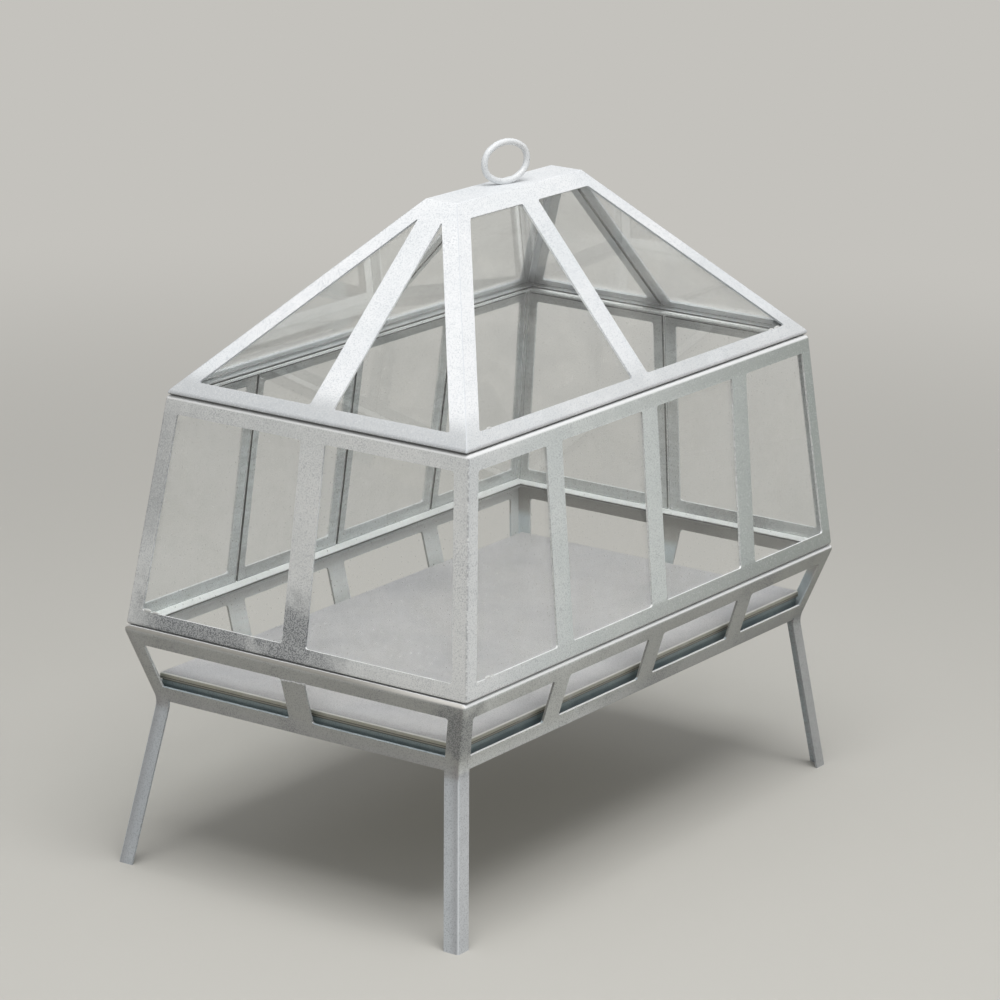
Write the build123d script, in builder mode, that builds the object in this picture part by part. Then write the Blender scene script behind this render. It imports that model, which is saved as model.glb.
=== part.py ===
from build123d import *
from dataclasses import dataclass
from math import atan2, degrees
import os

# Small glazed greenhouse for a patio: a loose stack of three welded frames.
# A base stand with a tray, tapered glazed walls, and a hipped glazed lid.
# Millimetres, +Z up, long side along X, front towards -Y.
# Origin on the ground, under the middle of the stand.

# Stock that the frames are made of
sheet = 2.0              # thickness of angles, flat bars and folded rails
angle_leg = 15.0         # width of each leg of a corner angle
flange = 15.0            # level flange of every rail, turned inwards
bar_width = 25.0         # flat bars of the skirt, the walls and the lid
rim_radius = 4.0         # outer bend of the two rails with a rounded rim
fold_radius = 2.6        # outer bend of the other folds
glass_thickness = 3.0
glass_bed = 0.2          # sealant between a bar and its pane
seam = 0.4               # between two frames of the stack

# Base stand: sizes at the top, then how far the skirt and the legs lean
base_length = 640.4
base_width = 369.6
base_height = 224.8
skirt_height = 71.8      # from the knee up to the base's rim
skirt_lean_long = 25.2   # along the length, each end
skirt_lean_short = 20.0
leg_splay_long = 25.5    # from the knee down to the ground
leg_splay_short = 21.8
knee_radius = 24.0
leg_run_on = 12.0        # drawn past the ground and the rim, then cut level
base_top_rail = 16.0     # upright height of a rail's face
base_low_rail = 15.0

# Tray for the plants, lying on bearers that stand on the low rails
tray_inset_long = 1.0    # inside the knee line, each end
tray_inset_short = 3.5
tray_sheet = 1.2
tray_lip = 6.0
tray_edge_radius = 2.0
tray_fit = 0.3           # between the lip and the bearers
bearer_height = 23.3

# Walls
walls_height = 209.9
walls_step_long = 4.9    # back from the base's edge
walls_step_short = 1.0
walls_lean_long = 26.6
walls_lean_short = 22.6
walls_top_rail = 15.5
walls_low_rail = 15.0
long_panes = 4           # panes on a long side of the walls

# Lid
lid_height = 167.3
lid_overhang_long = 4.3  # past the walls' edge
lid_overhang_short = 1.4
ridge_length = 205.0
ridge_width = 34.0
ridge_fold = 12.5        # upright height of the plate's turned-down sides
ridge_edge_radius = 2.5
lid_rail = 13.0

# Ring handle: an oval of round bar, welded a little askew on the ridge
ring_length = 56.5
ring_height = 42.4
ring_bar = 6.0
ring_end_radius = 15.0   # of the bar's middle line, at both ends of the oval
ring_seat = 0.6          # flat that the weld makes under the bar
ring_flats = 24          # narrow flats that stand for the bar's round
ring_turn = -16.0

# How the panes sit behind the flanges
pane_corner = 7.0        # from the corner line to a pane
pane_gap = 3.0           # between two panes behind one bar
walls_pane_low = 4.0     # up from the low edge of the walls
walls_pane_high = 7.0    # down from their high edge
lid_pane_low = 10.5
lid_pane_high = 9.0

reach = 2 * base_length  # longer than any piece, for cuts that go right through


@dataclass
class Slope:
    """One leaning side of a frame, seen from outside."""

    plane: Plane         # on the outer face, origin at the middle of the low edge
    profile: Plane       # cross-section: x inwards, y upwards
    rise: float
    lean: float          # how far the face leans inwards over its rise
    half_low: float
    half_high: float

    @property
    def length(self):
        return (self.rise**2 + self.lean**2) ** 0.5

    def up(self, height):
        """Distance up the slope at a height above the low edge."""
        return height * self.length / self.rise

    def half(self, distance):
        """Half the side's width at a distance up the slope."""
        return self.half_low + (self.half_high - self.half_low) * distance / self.length

    def strip(self, width):
        """Level width, in the face, of a strip that follows the corner line."""
        spread = self.half_low - self.half_high
        return width * (self.length**2 + spread**2) ** 0.5 / self.length

    def face_point(self, height):
        """Point of the outer face in the cross-section."""
        return (self.lean * height / self.rise, height)


def tapered_frame(low_length, low_width, low_z, lean_long, lean_short, rise):
    """The four sides of a frame on a level rectangle, by name."""
    slopes = {}
    for side, turn in (("front", 0), ("right", 90), ("back", 180), ("left", 270)):
        outward = Vector(0, -1, 0).rotate(Axis.Z, turn)
        along = Vector(1, 0, 0).rotate(Axis.Z, turn)
        long_side = side in ("front", "back")
        depth = (low_width if long_side else low_length) / 2
        half_low = (low_length if long_side else low_width) / 2
        lean = lean_short if long_side else lean_long
        origin = outward * depth + Vector(0, 0, low_z)
        slopes[side] = Slope(
            plane=Plane(origin=origin, x_dir=along, z_dir=outward * rise + Vector(0, 0, lean)),
            profile=Plane(origin=origin, x_dir=outward * -1, z_dir=along),
            rise=rise,
            lean=lean,
            half_low=half_low,
            half_high=half_low - (lean_long if long_side else lean_short),
        )
    return slopes


def mitres(frame, side):
    """Planes that halve the corners at both ends of a side, facing its middle."""
    order = ["front", "right", "back", "left"]
    place = order.index(side)
    slope = frame[side]
    planes = []
    for end, neighbour in ((1, order[(place + 1) % 4]), (-1, order[place - 1])):
        corner = slope.plane.from_local_coords((end * slope.half_low, 0, 0))
        facing = slope.plane.z_dir - frame[neighbour].plane.z_dir
        planes.append(Plane(origin=corner, z_dir=facing))
    return planes


knee_height = base_height - skirt_height
knee_length = base_length - 2 * skirt_lean_long
knee_width = base_width - 2 * skirt_lean_short
skirt = tapered_frame(
    knee_length, knee_width, knee_height, -skirt_lean_long, -skirt_lean_short, skirt_height
)

tray_length = knee_length - 2 * tray_inset_long
tray_width = knee_width - 2 * tray_inset_short
bearer_z = knee_height + sheet
tray_z = bearer_z + bearer_height + tray_sheet
bearer_inset = tray_sheet + tray_fit
bearers = tapered_frame(
    tray_length - 2 * bearer_inset, tray_width - 2 * bearer_inset, bearer_z, 0, 0, bearer_height
)

walls_length = base_length - 2 * walls_step_long
walls_width = base_width - 2 * walls_step_short
walls_z = base_height + seam
walls = tapered_frame(
    walls_length, walls_width, walls_z, walls_lean_long, walls_lean_short, walls_height
)
bar_pitch = walls_length / long_panes
bar_places = [bar_pitch * (n - long_panes / 2) for n in range(1, long_panes)]

lid_length = walls_length - 2 * walls_lean_long + 2 * lid_overhang_long
lid_width = walls_width - 2 * walls_lean_short + 2 * lid_overhang_short
lid_z = walls_z + walls_height + seam
lid = tapered_frame(
    lid_length,
    lid_width,
    lid_z,
    (lid_length - ridge_length) / 2,
    (lid_width - ridge_width) / 2,
    lid_height,
)
ridge_z = lid_z + lid_height


def folded_rail(frame, side, points, radius, inside):
    """Rail folded from sheet along a side, mitred at both ends."""
    with BuildPart() as rail:
        with BuildSketch(frame[side].profile):
            with BuildLine():
                FilletPolyline(*points, radius=radius)
                offset(amount=sheet, side=inside)
            make_face()
        extrude(amount=reach / 2, both=True)
        for mitre in mitres(frame, side):
            split(bisect_by=mitre, keep=Keep.TOP)
    return rail.part


def low_rail(frame, side, height):
    """Angle rail with its level flange at the bottom."""
    points = [frame[side].face_point(height), (0, 0), (flange, 0)]
    return folded_rail(frame, side, points, fold_radius, Side.LEFT)


def top_rail(frame, side, height, radius):
    """Angle rail with its level flange at the top."""
    slope = frame[side]
    rim = slope.face_point(slope.rise)
    points = [slope.face_point(slope.rise - height), rim, (rim[0] + flange, rim[1])]
    return folded_rail(frame, side, points, radius, Side.RIGHT)


def flat_bars(slope, places, low, high):
    """Flat bars up a side, cut to a point where they meet the corner angles."""
    inner = slope.strip(angle_leg)
    with BuildPart() as bars:
        with BuildSketch(slope.plane):
            with Locations(*[(x, (low + high) / 2) for x in places]):
                Rectangle(bar_width, high - low)
            with BuildLine():
                Polyline(
                    (-slope.half(low) + inner, low),
                    (slope.half(low) - inner, low),
                    (slope.half(high) - inner, high),
                    (-slope.half(high) + inner, high),
                    close=True,
                )
            make_face(mode=Mode.INTERSECT)
        extrude(amount=-sheet)
    return bars.part


def glass_panes(slope, places, low, high):
    """Panes behind the flanges and bars of a side, parted behind each bar."""
    edge = slope.strip(pane_corner)
    with BuildPart() as panes:
        with BuildSketch(slope.plane.offset(-sheet - glass_bed)):
            with BuildLine():
                Polyline(
                    (-slope.half(low) + edge, low),
                    (slope.half(low) - edge, low),
                    (slope.half(high) - edge, high),
                    (-slope.half(high) + edge, high),
                    close=True,
                )
            make_face()
            with Locations(*[(x, (low + high) / 2) for x in places]):
                Rectangle(pane_gap, high - low, mode=Mode.SUBTRACT)
        extrude(amount=-glass_thickness)
    return panes.part


def leg_band(plane, splay, lean, half_top, depth, both=False):
    """Section of all that lies within a depth of a leg's outer line, or of both legs'."""
    half_knee = half_top - lean
    knee = Vector(half_knee, knee_height)
    foot = Vector(half_knee + splay, 0)
    top = Vector(half_top, base_height)
    below = foot + (foot - knee).normalized() * leg_run_on
    above = top + (top - knee).normalized() * leg_run_on
    with BuildSketch(plane) as band:
        with BuildLine():
            FilletPolyline(below, knee, above, radius=knee_radius)
            offset(amount=depth, side=Side.LEFT)
        make_face()
        if both:
            mirror(about=Plane.YZ)
    return band.sketch


def leg_wing(depth_long, depth_short):
    """One leg of a bent corner angle, cut level on the ground."""
    long_band = leg_band(Plane.XZ, leg_splay_long, skirt_lean_long, base_length / 2, depth_long)
    short_band = leg_band(Plane.YZ, leg_splay_short, skirt_lean_short, base_width / 2, depth_short)
    with BuildPart() as wing:
        extrude(long_band, amount=reach / 2, both=True)
        extrude(short_band, amount=reach / 2, both=True, mode=Mode.INTERSECT)
        split(bisect_by=Plane.XY, keep=Keep.TOP)
        split(bisect_by=Plane.XY.offset(base_height), keep=Keep.BOTTOM)
    return wing.part


def with_mirror(part, about):
    """A part and its mirror image on the opposite side."""
    with BuildPart() as pair:
        add(part)
        mirror(about=about)
    return pair.part


def save(label, part):
    """Write one named piece, or like pieces that don't touch."""
    part.label = label
    export_step(part, f"parts/{label}.step")
    print(f"{label}: {len(part.solids())} solids, {part.volume:.0f} mm3")


def save_corners(name, part):
    """Write a back right corner piece and its mirror images at the other corners."""
    with BuildPart() as back_left:
        mirror(part, about=Plane.YZ)
    with BuildPart() as front_right:
        mirror(part, about=Plane.XZ)
    with BuildPart() as front_left:
        mirror(back_left.part, about=Plane.XZ)
    save(f"{name}_back_right", part)
    save(f"{name}_back_left", back_left.part)
    save(f"{name}_front_right", front_right.part)
    save(f"{name}_front_left", front_left.part)


def save_glass(name, frame, places_long, places_short, low, high):
    """Write the panes of each side, low and high being measured from its edges."""
    for side, slope in frame.items():
        places = places_long if side in ("front", "back") else places_short
        save(f"{name}_{side}", glass_panes(slope, places, low, slope.length - high))


def save_bars(name, frame, places_long, low, high_long, high_short):
    """Write the bars of the long and of the short sides, between two heights."""
    front = frame["front"]
    left = frame["left"]
    long_bars = flat_bars(front, places_long, front.up(low), front.up(high_long))
    short_bars = flat_bars(left, [0], left.up(low), left.up(high_short))
    save(f"{name}_long", with_mirror(long_bars, Plane.XZ))
    save(f"{name}_short", with_mirror(short_bars, Plane.YZ))


def corner_angle(frame, low, high_long, high_short):
    """Angle up the back right corner, each leg between two heights."""
    back = frame["back"]
    right = frame["right"]
    corner = back.plane.from_local_coords((-back.half(back.length / 2), back.length / 2, 0))
    with BuildPart() as angle:
        for slope, end in ((back, -1), (right, 1)):
            below = -angle_leg
            above = slope.length + angle_leg
            inner = slope.strip(angle_leg)
            with BuildSketch(slope.plane):
                with BuildLine():
                    Polyline(
                        (end * (slope.half(below) + sheet), below),
                        (end * (slope.half(above) + sheet), above),
                        (end * (slope.half(above) - inner), above),
                        (end * (slope.half(below) - inner), below),
                        close=True,
                    )
                make_face()
            extrude(amount=-sheet)
        split(bisect_by=back.plane, keep=Keep.BOTTOM)
        split(bisect_by=right.plane, keep=Keep.BOTTOM)
        split(bisect_by=Plane.XY.offset(back.plane.origin.Z), keep=Keep.TOP)
        split(bisect_by=Plane.XY.offset(back.plane.origin.Z + back.rise), keep=Keep.BOTTOM)
        fillet(angle.edges().sort_by_distance(corner)[0], radius=fold_radius)
        for slope, high in ((back, high_long), (right, high_short)):
            with BuildSketch(slope.plane):
                with Locations((0, slope.up(low))):
                    Rectangle(reach, reach, align=(Align.CENTER, Align.MAX))
                with Locations((0, slope.up(high))):
                    Rectangle(reach, reach, align=(Align.CENTER, Align.MIN))
            extrude(amount=-sheet, mode=Mode.SUBTRACT)
    return angle.part


os.makedirs("parts", exist_ok=True)

# Base stand: legs of angle, bent at the knee
with BuildPart() as leg:
    add(leg_wing(angle_leg, sheet))
    add(leg_wing(sheet, angle_leg))
    shin = Vector(knee_length + leg_splay_long, knee_width + leg_splay_short, knee_height) / 2
    fillet(leg.edges().sort_by_distance(shin)[0], radius=fold_radius)
    for side in ("back", "right"):
        with BuildSketch(skirt[side].plane):
            with Locations((0, skirt[side].up(skirt_height - base_top_rail))):
                Rectangle(reach, reach, align=(Align.CENTER, Align.MIN))
        extrude(amount=-sheet, mode=Mode.SUBTRACT)
save_corners("leg", leg.part)

# Base stand: rails. The low ones butt against the flanges of the legs.
base_top_front = top_rail(skirt, "front", base_top_rail, rim_radius)
base_top_left = top_rail(skirt, "left", base_top_rail, rim_radius)
save("base_top_rails_long", with_mirror(base_top_front, Plane.XZ))
save("base_top_rails_short", with_mirror(base_top_left, Plane.YZ))

leg_flanges_long = leg_band(
    Plane.XZ, leg_splay_long, skirt_lean_long, base_length / 2, angle_leg, both=True
)
leg_flanges_short = leg_band(
    Plane.YZ, leg_splay_short, skirt_lean_short, base_width / 2, angle_leg, both=True
)
with BuildPart() as base_low_rails_long:
    add(low_rail(skirt, "front", base_low_rail))
    mirror(about=Plane.XZ)
    extrude(leg_flanges_long, amount=reach / 2, both=True, mode=Mode.SUBTRACT)
save("base_low_rails_long", base_low_rails_long.part)
with BuildPart() as base_low_rails_short:
    add(low_rail(skirt, "left", base_low_rail))
    mirror(about=Plane.YZ)
    extrude(leg_flanges_short, amount=reach / 2, both=True, mode=Mode.SUBTRACT)
save("base_low_rails_short", base_low_rails_short.part)

skirt_bars_top = skirt_height - base_top_rail
save_bars("skirt_bars", skirt, bar_places, base_low_rail, skirt_bars_top, skirt_bars_top)

# Base stand: bearers with a level flange under the tray, and the tray
bearer_front = top_rail(bearers, "front", bearer_height, fold_radius)
bearer_left = top_rail(bearers, "left", bearer_height, fold_radius)
save("tray_bearers_long", with_mirror(bearer_front, Plane.XZ))
save("tray_bearers_short", with_mirror(bearer_left, Plane.YZ))

with BuildPart() as tray:
    with BuildSketch(Plane.XY.offset(tray_z)):
        Rectangle(tray_length, tray_width)
    extrude(amount=-tray_lip)
    fillet(tray.faces().sort_by(Axis.Z)[-1].edges(), radius=tray_edge_radius)
    offset(amount=-tray_sheet, openings=tray.faces().sort_by(Axis.Z)[0])
save("tray", tray.part)

# Walls
walls_top_front = top_rail(walls, "front", walls_top_rail, rim_radius)
walls_top_left = top_rail(walls, "left", walls_top_rail, rim_radius)
save("walls_top_rails_long", with_mirror(walls_top_front, Plane.XZ))
save("walls_top_rails_short", with_mirror(walls_top_left, Plane.YZ))
walls_low_front = low_rail(walls, "front", walls_low_rail)
walls_low_left = low_rail(walls, "left", walls_low_rail)
save("walls_low_rails_long", with_mirror(walls_low_front, Plane.XZ))
save("walls_low_rails_short", with_mirror(walls_low_left, Plane.YZ))

walls_posts_top = walls_height - walls_top_rail
save_corners("post", corner_angle(walls, walls_low_rail, walls_posts_top, walls_posts_top))
save_bars("walls_bars", walls, bar_places, walls_low_rail, walls_posts_top, walls_posts_top)
save_glass("walls_glass", walls, bar_places, [0], walls_pane_low, walls_pane_high)

# Lid
lid_front = low_rail(lid, "front", lid_rail)
lid_left = low_rail(lid, "left", lid_rail)
save("lid_rails_long", with_mirror(lid_front, Plane.XZ))
save("lid_rails_short", with_mirror(lid_left, Plane.YZ))

under_fold = lid_height - ridge_fold
under_ridge = lid_height - sheet
save_corners("hip", corner_angle(lid, lid_rail, under_fold, under_ridge))
save_bars("lid_bars", lid, [0], lid_rail, under_fold, under_ridge)
save_glass("lid_glass", lid, [0], [0], lid_pane_low, lid_pane_high)

# Lid: ridge plate, its long sides turned down between the hips
fold_out = ridge_width / 2 + ridge_fold * lid["front"].lean / lid_height
with BuildPart() as ridge_plate:
    with BuildSketch(Plane.YZ):
        with BuildLine():
            FilletPolyline(
                (-fold_out, ridge_z - ridge_fold),
                (-ridge_width / 2, ridge_z),
                (ridge_width / 2, ridge_z),
                (fold_out, ridge_z - ridge_fold),
                radius=ridge_edge_radius,
            )
            offset(amount=sheet, side=Side.RIGHT)
        make_face()
    extrude(amount=reach / 2, both=True)
    split(bisect_by=lid["left"].plane, keep=Keep.BOTTOM)
    split(bisect_by=lid["right"].plane, keep=Keep.BOTTOM)
save("ridge_plate", ridge_plate.part)

# Lid: ring handle, an oval of four arcs
half_long = (ring_length - ring_bar) / 2
half_high = (ring_height - ring_bar) / 2
end_centre = half_long - ring_end_radius
crown_radius = (end_centre**2 + half_high**2 - ring_end_radius**2) / (
    2 * (half_high - ring_end_radius)
)
crown_centre = crown_radius - half_high
turn = degrees(atan2(crown_centre, end_centre))
ring_z = ridge_z - ring_seat + ring_height / 2
ring_plane = Plane(
    origin=(0, 0, ring_z),
    x_dir=Vector(1, 0, 0).rotate(Axis.Z, ring_turn),
    z_dir=Vector(0, -1, 0).rotate(Axis.Z, ring_turn),
)
arcs = (
    (end_centre, 0, ring_end_radius, -turn, 2 * turn),
    (0, -crown_centre, crown_radius, turn, 180 - 2 * turn),
    (-end_centre, 0, ring_end_radius, 180 - turn, 2 * turn),
    (0, crown_centre, crown_radius, 180 + turn, 180 - 2 * turn),
)
with BuildPart() as ring_handle:
    for x, y, radius, start, sweep_angle in arcs:
        centre = ring_plane.from_local_coords((x, y, 0))
        spoke = ring_plane.x_dir.rotate(Axis((0, 0, 0), ring_plane.z_dir), start)
        across = Plane(origin=centre, x_dir=spoke, z_dir=ring_plane.z_dir.cross(spoke))
        with BuildSketch(across):
            with Locations((radius, 0)):
                RegularPolygon(radius=ring_bar / 2, side_count=ring_flats)
        revolve(axis=Axis(centre, ring_plane.z_dir), revolution_arc=sweep_angle)
    split(bisect_by=Plane.XY.offset(ridge_z), keep=Keep.TOP)
save("ring_handle", ring_handle.part)
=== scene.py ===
# %% [markdown]
# # A small glass plant house, from its solid model to a finished picture
#
# The object is a plant case for a patio: a base stand on four splayed legs, tapered
# glazed walls and a hipped glazed lid, all welded from 2 mm steel, zinc coated and
# painted white, then left outdoors until the paint went chalky and mottled.
# The solid model gives every size and place. This file keeps its glass, folds
# the three steel frames again as one-piece welded skins, and gives each surface its finish.

# %% Load the solid model
import math

import bmesh
import bpy
from mathutils import Matrix, Vector


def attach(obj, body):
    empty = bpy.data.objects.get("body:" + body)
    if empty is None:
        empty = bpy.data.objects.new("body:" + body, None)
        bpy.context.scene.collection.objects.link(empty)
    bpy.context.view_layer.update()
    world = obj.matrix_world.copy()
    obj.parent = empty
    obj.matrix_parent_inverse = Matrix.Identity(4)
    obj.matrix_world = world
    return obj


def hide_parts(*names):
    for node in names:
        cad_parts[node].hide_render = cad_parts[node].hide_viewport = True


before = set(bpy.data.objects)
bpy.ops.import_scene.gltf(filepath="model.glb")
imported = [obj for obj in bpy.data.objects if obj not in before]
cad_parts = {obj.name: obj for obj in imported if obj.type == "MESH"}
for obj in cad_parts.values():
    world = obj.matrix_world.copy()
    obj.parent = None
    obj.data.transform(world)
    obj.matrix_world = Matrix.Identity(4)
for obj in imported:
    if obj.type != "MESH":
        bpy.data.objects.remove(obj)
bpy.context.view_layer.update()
MM = 0.001

# %% [markdown]
# ## Three tapered boxes
#
# Each frame of the stack leans inwards or outwards on all four sides, so two level
# rectangles describe it. The skins are built from these sizes, and the dirt and the
# painted shade in the paint find the corner folds by them. All are in metres.

# %% Sizes of the three frames
# half length and half width at the low edge, the same at the high edge, and both heights
WALLS = (0.3153, 0.1838), (0.2887, 0.1612), 0.2252, 0.4351
LID = (0.293, 0.1626), (0.1025, 0.017), 0.4355, 0.6028
STAND = (0.295, 0.1648), (0.3202, 0.1848), 0.153, 0.2248
KNEE, TOP = STAND[2:]
SPLAY = (0.0255, 0.0218)  # how far a foot stands out past its knee
LONG_SIDES, SHORT_SIDES = ("front", "back"), ("left", "right")
SIDES = LONG_SIDES + SHORT_SIDES
print("stand, half sizes over the feet:", [round(k + s, 4) for k, s in zip(STAND[0], SPLAY)])

# %% [markdown]
# ## The camera
#
# A long lens far away keeps the object's upright lines almost parallel, as a product
# picture does. Two of the camera's own directions are given, right and up. The third,
# backward, is square to both, and the three make its turn, so it needs no target.

# %% Place the camera
CAMERA_PLACE = (-3.2145, -2.1069, 1.3802)
CAMERA_RIGHT = Vector((0.55400688, -0.83196675, 0.03012816))
CAMERA_UP = Vector((0.20825487, 0.17353422, 0.9625569))

lens_data = bpy.data.cameras.new("camera")
lens_data.lens = 155.27
lens_data.sensor_width = 36.0
lens_data.clip_end = 100.0
camera = bpy.data.objects.new("camera", lens_data)
bpy.context.scene.collection.objects.link(camera)
camera_back = CAMERA_RIGHT.cross(CAMERA_UP)
turn = Matrix((CAMERA_RIGHT, CAMERA_UP, camera_back)).transposed().to_4x4()
camera.matrix_world = Matrix.Translation(CAMERA_PLACE) @ turn
bpy.context.scene.camera = camera
bpy.context.scene.view_settings.view_transform = "Standard"
print("camera height", round(camera.location.z, 3), "m")

# %% [markdown]
# ## Colours and nodes
#
# Paint colours are written as on a colour chart, in hex. Blender mixes light in linear
# values, so one function turns the one into the other. A second function adds a node
# with its settings and its links in a single line, which keeps each material readable.


# %% Helpers for materials
def chart(code):
    """A colour chart's hex code as linear red, green, blue and alpha."""
    parts = [int(code[i : i + 2], 16) / 255 for i in (1, 3, 5)]
    return [p / 12.92 if p <= 0.04045 else ((p + 0.055) / 1.055) ** 2.4 for p in parts] + [1.0]


def node(material, kind, settings=None, **inputs):
    """Add a node: settings are its own options, inputs are values, nodes or sockets.

    An input is named with _ for each space, or as _ and its number. A node that is given
    as an input is linked by its first output.
    """
    made = material.node_tree.nodes.new(kind)
    for name, value in (settings or {}).items():
        setattr(made, name, value)
    for name, value in inputs.items():
        key = int(name[1:]) if name[0] == "_" else name.replace("_", " ")
        socket = made.inputs[key]
        if isinstance(value, bpy.types.Node):
            value = value.outputs[0]
        if isinstance(value, bpy.types.NodeSocket):
            material.node_tree.links.new(value, socket)
        else:
            socket.default_value = value
    return made


def new_material(name):
    """An empty material with its output node."""
    material = bpy.data.materials.new(name)
    material.use_nodes = True
    material.node_tree.nodes.clear()
    return material, material.node_tree.nodes.new("ShaderNodeOutputMaterial")


SOFT = {"interpolation_type": "SMOOTHSTEP"}  # a Map Range with soft ends
MULTIPLY, MAXIMUM = {"operation": "MULTIPLY"}, {"operation": "MAXIMUM"}
print("the ring's white paint, linear:", [round(v, 3) for v in chart("#E6E7E8")])

# %% [markdown]
# ## Background and floor
#
# The sky lights the object evenly, and the camera sees one plain colour instead of it,
# through the glass too. The floor is a pale matt disc. Near the object it is a real
# surface that takes the shadow, and further out it turns into the background's own
# colour, so no horizon shows.

# %% The sky
BACKGROUND = chart("#C4C2BD")

world = bpy.data.worlds.new("soft_sky")
bpy.context.scene.world = world
world.use_nodes = True
world.node_tree.nodes.clear()
sky_out = world.node_tree.nodes.new("ShaderNodeOutputWorld")
ray = node(world, "ShaderNodeLightPath")
looked_at = node(world, "ShaderNodeMath", MAXIMUM, _0=ray.outputs["Is Camera Ray"],
                 _1=ray.outputs["Is Transmission Ray"])
light_sky = node(world, "ShaderNodeBackground", Color=chart("#F6F7F8"), Strength=0.50)
shown_sky = node(world, "ShaderNodeBackground", Color=BACKGROUND, Strength=1.0)
sky = node(world, "ShaderNodeMixShader", _0=looked_at, _1=light_sky, _2=shown_sky)
world.node_tree.links.new(sky.outputs[0], sky_out.inputs["Surface"])
print("sky:", world.name)

# %% The floor
floor_paint, floor_out = new_material("floor_paint")
where = node(floor_paint, "ShaderNodeTexCoord")
out_from_middle = node(floor_paint, "ShaderNodeVectorMath", {"operation": "LENGTH"},
                       _0=where.outputs["Object"])
far = node(floor_paint, "ShaderNodeMapRange", SOFT, Value=out_from_middle.outputs["Value"],
           From_Min=0.9, From_Max=2.6)
near_floor = node(floor_paint, "ShaderNodeBsdfDiffuse", Color=chart("#C1BFB9"))
far_floor = node(floor_paint, "ShaderNodeEmission", Color=BACKGROUND, Strength=1.0)
floor_mix = node(floor_paint, "ShaderNodeMixShader", _0=far, _1=near_floor, _2=far_floor)
floor_paint.node_tree.links.new(floor_mix.outputs[0], floor_out.inputs["Surface"])
bpy.ops.mesh.primitive_circle_add(vertices=96, radius=40.0, fill_type="NGON")
floor = bpy.context.object
floor.name = "floor"
floor.data.materials.append(floor_paint)
print("floor, metres across:", round(floor.dimensions.x))

# %% [markdown]
# ## Light
#
# One big soft lamp hangs overhead and a little to the left, as on an overcast day: what
# faces up is bright, what leans under itself is darker. A weak one fills in from the
# front. Both are aimed at the middle of the object.

# %% Hang the lamps
OBJECT_MIDDLE = Vector((0, 0, 0.3))
for name, place, size, power in (
    ("overhead_lamp", (-0.8, -0.8, 3.2), 2.4, 80.0),
    ("side_lamp", (0.2, -3.4, 1.7), 2.2, 5.0),
):
    lamp_data = bpy.data.lights.new(name, "AREA")
    lamp_data.shape = "DISK"
    lamp_data.size = size
    lamp_data.energy = power
    lamp = bpy.data.objects.new(name, lamp_data)
    bpy.context.scene.collection.objects.link(lamp)
    aim = (OBJECT_MIDDLE - Vector(place)).to_track_quat("-Z", "Y")
    lamp.matrix_world = Matrix.Translation(place) @ aim.to_matrix().to_4x4()
    print(name, power, "W")

# %% [markdown]
# ## The paint
#
# The steel was dipped in zinc and then given a thin white metal paint. Weather has
# chalked it, so it is matt and a little cloudy. Under a close look it is sandy: fine
# dark grains of bare zinc show between the white ones, and they crowd together in
# patches. Each frame then has its own wear and dirt, and painted light and shade.
#
# A paint is built here in layers, from the coat outwards. Each layer is a colour and a
# mask that says where it lies. A mask is 0 where the layer is clear and rises smoothly
# to the layer's full share. One long chain of nodes could do the same, but with a
# function for each kind of dirt or wear, a paint is a short list that is easy to change.


# %% A paint that takes layers
class Paint:
    """A weathered finish that takes layers.

    It starts as a light tone with slow clouds 110 mm across and blotches of 10 mm. The
    bare zinc, the enamel and the sealant are made with it too.
    """

    def __init__(self, name, light, cloud):
        self.material, self.output = new_material(name)
        self.at = self.node("ShaderNodeTexCoord").outputs["Object"]
        self.normal = self.node("ShaderNodeNewGeometry").outputs["Normal"]
        self.place = self.node("ShaderNodeSeparateXYZ", Vector=self.at).outputs
        self.facing = self.node("ShaderNodeSeparateXYZ", Vector=self.normal).outputs
        # how far a face looks along X, to the left or to the right
        self.sideways = self.node("ShaderNodeMath", {"operation": "ABSOLUTE"},
                                  _0=self.facing["X"])
        self.cloud, self.colour = chart(cloud), chart(light)
        clouds = self.node("ShaderNodeTexNoise", Vector=self.at, Scale=9.0, Detail=4.0,
                           Roughness=0.6)
        self.lay(cloud, self.node("ShaderNodeMapRange", SOFT, Value=clouds, From_Min=0.36,
                                  From_Max=0.68))
        blotches = self.node("ShaderNodeTexNoise", Vector=self.at, Scale=95.0)
        self.lay(cloud, self.node("ShaderNodeMapRange", SOFT, Value=blotches, From_Min=0.45,
                                  From_Max=0.70, To_Max=0.30))

    def node(self, kind, settings=None, **inputs):
        """A node of this paint's own material."""
        return node(self.material, kind, settings, **inputs)

    def lay(self, colour, *masks):
        """Add a layer over all that is there. It lies only where all its masks do."""
        share = masks[0]
        for mask in masks[1:]:
            share = self.node("ShaderNodeMath", MULTIPLY, _0=share, _1=mask)
        over = chart(colour) if isinstance(colour, str) else colour
        self.colour = self.node("ShaderNodeMix", {"data_type": "RGBA"}, _0=share,
                                _6=self.colour, _7=over).outputs[2]

    def between(self, axis, clear, full):
        """A mask that rises along X, Y or Z from a clear place to a full one, in mm."""
        return self.node("ShaderNodeMapRange", SOFT, Value=self.place[axis],
                         From_Min=clear * MM, From_Max=full * MM)

    def off_fold(self, axis, low_z, low, high_z, high):
        """How far inside a leaning side a place lies, along X or Y, in metres."""
        half = self.node("ShaderNodeMapRange", {"clamp": False}, Value=self.place["Z"],
                         From_Min=low_z, From_Max=high_z, To_Min=low, To_Max=high)
        out = self.node("ShaderNodeMath", {"operation": "ABSOLUTE"}, _0=self.place[axis])
        return self.node("ShaderNodeMath", {"operation": "SUBTRACT"}, _0=half, _1=out)
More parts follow.
